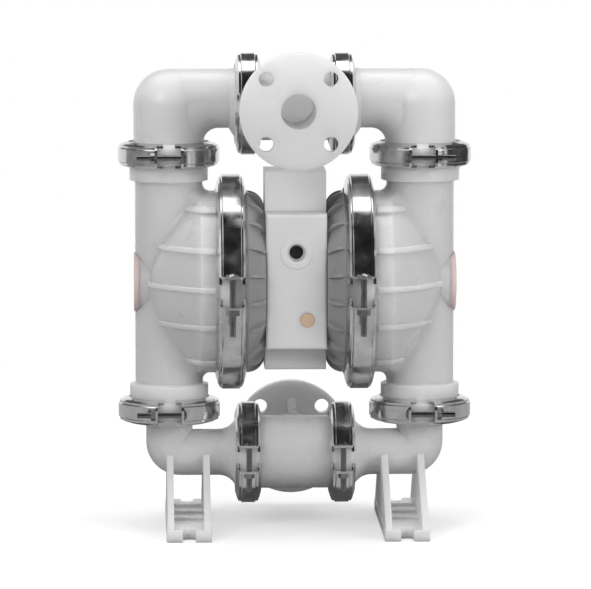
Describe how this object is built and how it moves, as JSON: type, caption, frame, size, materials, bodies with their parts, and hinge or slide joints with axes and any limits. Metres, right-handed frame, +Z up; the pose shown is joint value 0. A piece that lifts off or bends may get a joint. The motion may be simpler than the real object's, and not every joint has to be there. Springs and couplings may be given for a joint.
{
  "type": "air operated double diaphragm pump",
  "caption": "Air driven double diaphragm pump with white plastic liquid chambers, flanged inlet and outlet tees, steel clamp bands, a centre block and slotted feet.",
  "frame": {"origin": "on the floor plane under the feet, midway between the liquid chambers and the flange faces", "axes": "+X along the shaft to the viewer's right, +Y away from the outlet flange's side, +Z up"},
  "size_m": [0.3874, 0.278, 0.5275],
  "materials": {
    "white_polypropylene": "satin, slightly translucent",
    "grey_polypropylene": "satin",
    "block_polypropylene": "satin",
    "pale_disc": "satin",
    "plug_plastic": "satin",
    "seat_plastic": "satin",
    "ball_plastic": "satin",
    "bushing_plastic": "satin",
    "muffler_plastic": "satin",
    "clamp_steel": "polished",
    "fastener_steel": "plain",
    "shaft_steel": "ground",
    "piston_aluminium": "machined",
    "spool_aluminium": "anodised",
    "diaphragm_rubber": "matt",
    "seal_rubber": "matt",
    "gasket_rubber": "matt"
  },
  "bodies": {
    "pump_frame": {"liquid_chamber_left": "white_polypropylene", "liquid_chamber_right": "white_polypropylene", "end_disc_left": "pale_disc", "end_disc_right": "pale_disc", "discharge_elbow_left": "white_polypropylene", "discharge_elbow_right": "white_polypropylene", "inlet_elbow_left": "white_polypropylene", "inlet_elbow_right": "white_polypropylene", "inlet_seat_left": "seat_plastic", "inlet_seat_right": "seat_plastic", "discharge_seat_left": "seat_plastic", "discharge_seat_right": "seat_plastic", "inlet_column_clamp_left": "clamp_steel", "inlet_column_clamp_right": "clamp_steel", "discharge_column_clamp_left": "clamp_steel", "discharge_column_clamp_right": "clamp_steel", "inlet_tee_clamp_left": "clamp_steel", "inlet_tee_clamp_right": "clamp_steel", "discharge_tee_clamp_left": "clamp_steel", "discharge_tee_clamp_right": "clamp_steel", "chamber_clamp_upper_left": "clamp_steel", "chamber_clamp_upper_right": "clamp_steel", "chamber_clamp_lower_left": "clamp_steel", "chamber_clamp_lower_right": "clamp_steel", "diaphragm_left": "diaphragm_rubber", "diaphragm_right": "diaphragm_rubber", "air_chamber_left": "grey_polypropylene", "air_chamber_right": "grey_polypropylene", "inlet_tee": "white_polypropylene", "discharge_tee": "white_polypropylene", "column_seal_rings": "seal_rubber", "tee_seal_rings": "seal_rubber", "small_clamp_bolts": "fastener_steel", "small_clamp_nuts": "fastener_steel", "chamber_clamp_bolts": "fastener_steel", "chamber_clamp_nuts": "fastener_steel", "air_chamber_screws": "fastener_steel", "centre_block": "block_polypropylene", "shaft_bushings": "bushing_plastic", "shaft_seals": "seal_rubber", "pilot_sleeve": "bushing_plastic", "air_valve_body": "block_polypropylene", "air_valve_gasket": "gasket_rubber", "air_valve_end_caps": "block_polypropylene", "test_port_plug": "plug_plastic", "valve_bolts": "fastener_steel", "muffler_plate": "block_polypropylene", "muffler_plate_gasket": "gasket_rubber", "exhaust_muffler": "muffler_plastic"},
    "shaft_assembly": {"main_shaft": "shaft_steel", "inner_piston_left": "piston_aluminium", "inner_piston_right": "piston_aluminium", "outer_piston_left": "white_polypropylene", "outer_piston_right": "white_polypropylene"},
    "inlet_valve_ball_left": {"inlet_ball_left": "ball_plastic"},
    "inlet_valve_ball_right": {"inlet_ball_right": "ball_plastic"},
    "discharge_valve_ball_left": {"discharge_ball_left": "ball_plastic"},
    "discharge_valve_ball_right": {"discharge_ball_right": "ball_plastic"},
    "air_spool": {"air_valve_spool": "spool_aluminium"},
    "pilot": {"pilot_spool": "shaft_steel"}
  },
  "joints": [
    {"name": "shaft_stroke", "type": "slide", "parent": "pump_frame", "child": "shaft_assembly", "axis": [1, 0, 0], "range_m": [-0.013, 0.013], "deforming": ["diaphragm_left", "diaphragm_right"]},
    {"name": "inlet_ball_lift_left", "type": "slide", "parent": "pump_frame", "child": "inlet_valve_ball_left", "axis": [0, 0, 1], "range_m": [0, 0.011]},
    {"name": "inlet_ball_lift_right", "type": "slide", "parent": "pump_frame", "child": "inlet_valve_ball_right", "axis": [0, 0, 1], "range_m": [0, 0.011]},
    {"name": "discharge_ball_lift_left", "type": "slide", "parent": "pump_frame", "child": "discharge_valve_ball_left", "axis": [0, 0, 1], "range_m": [0, 0.011]},
    {"name": "discharge_ball_lift_right", "type": "slide", "parent": "pump_frame", "child": "discharge_valve_ball_right", "axis": [0, 0, 1], "range_m": [0, 0.011]},
    {"name": "air_spool_travel", "type": "slide", "parent": "pump_frame", "child": "air_spool", "axis": [0, 0, 1], "range_m": [0, 0.014]},
    {"name": "pilot_travel", "type": "slide", "parent": "pump_frame", "child": "pilot", "axis": [1, 0, 0], "range_m": [-0.003, 0.003]}
  ]
}
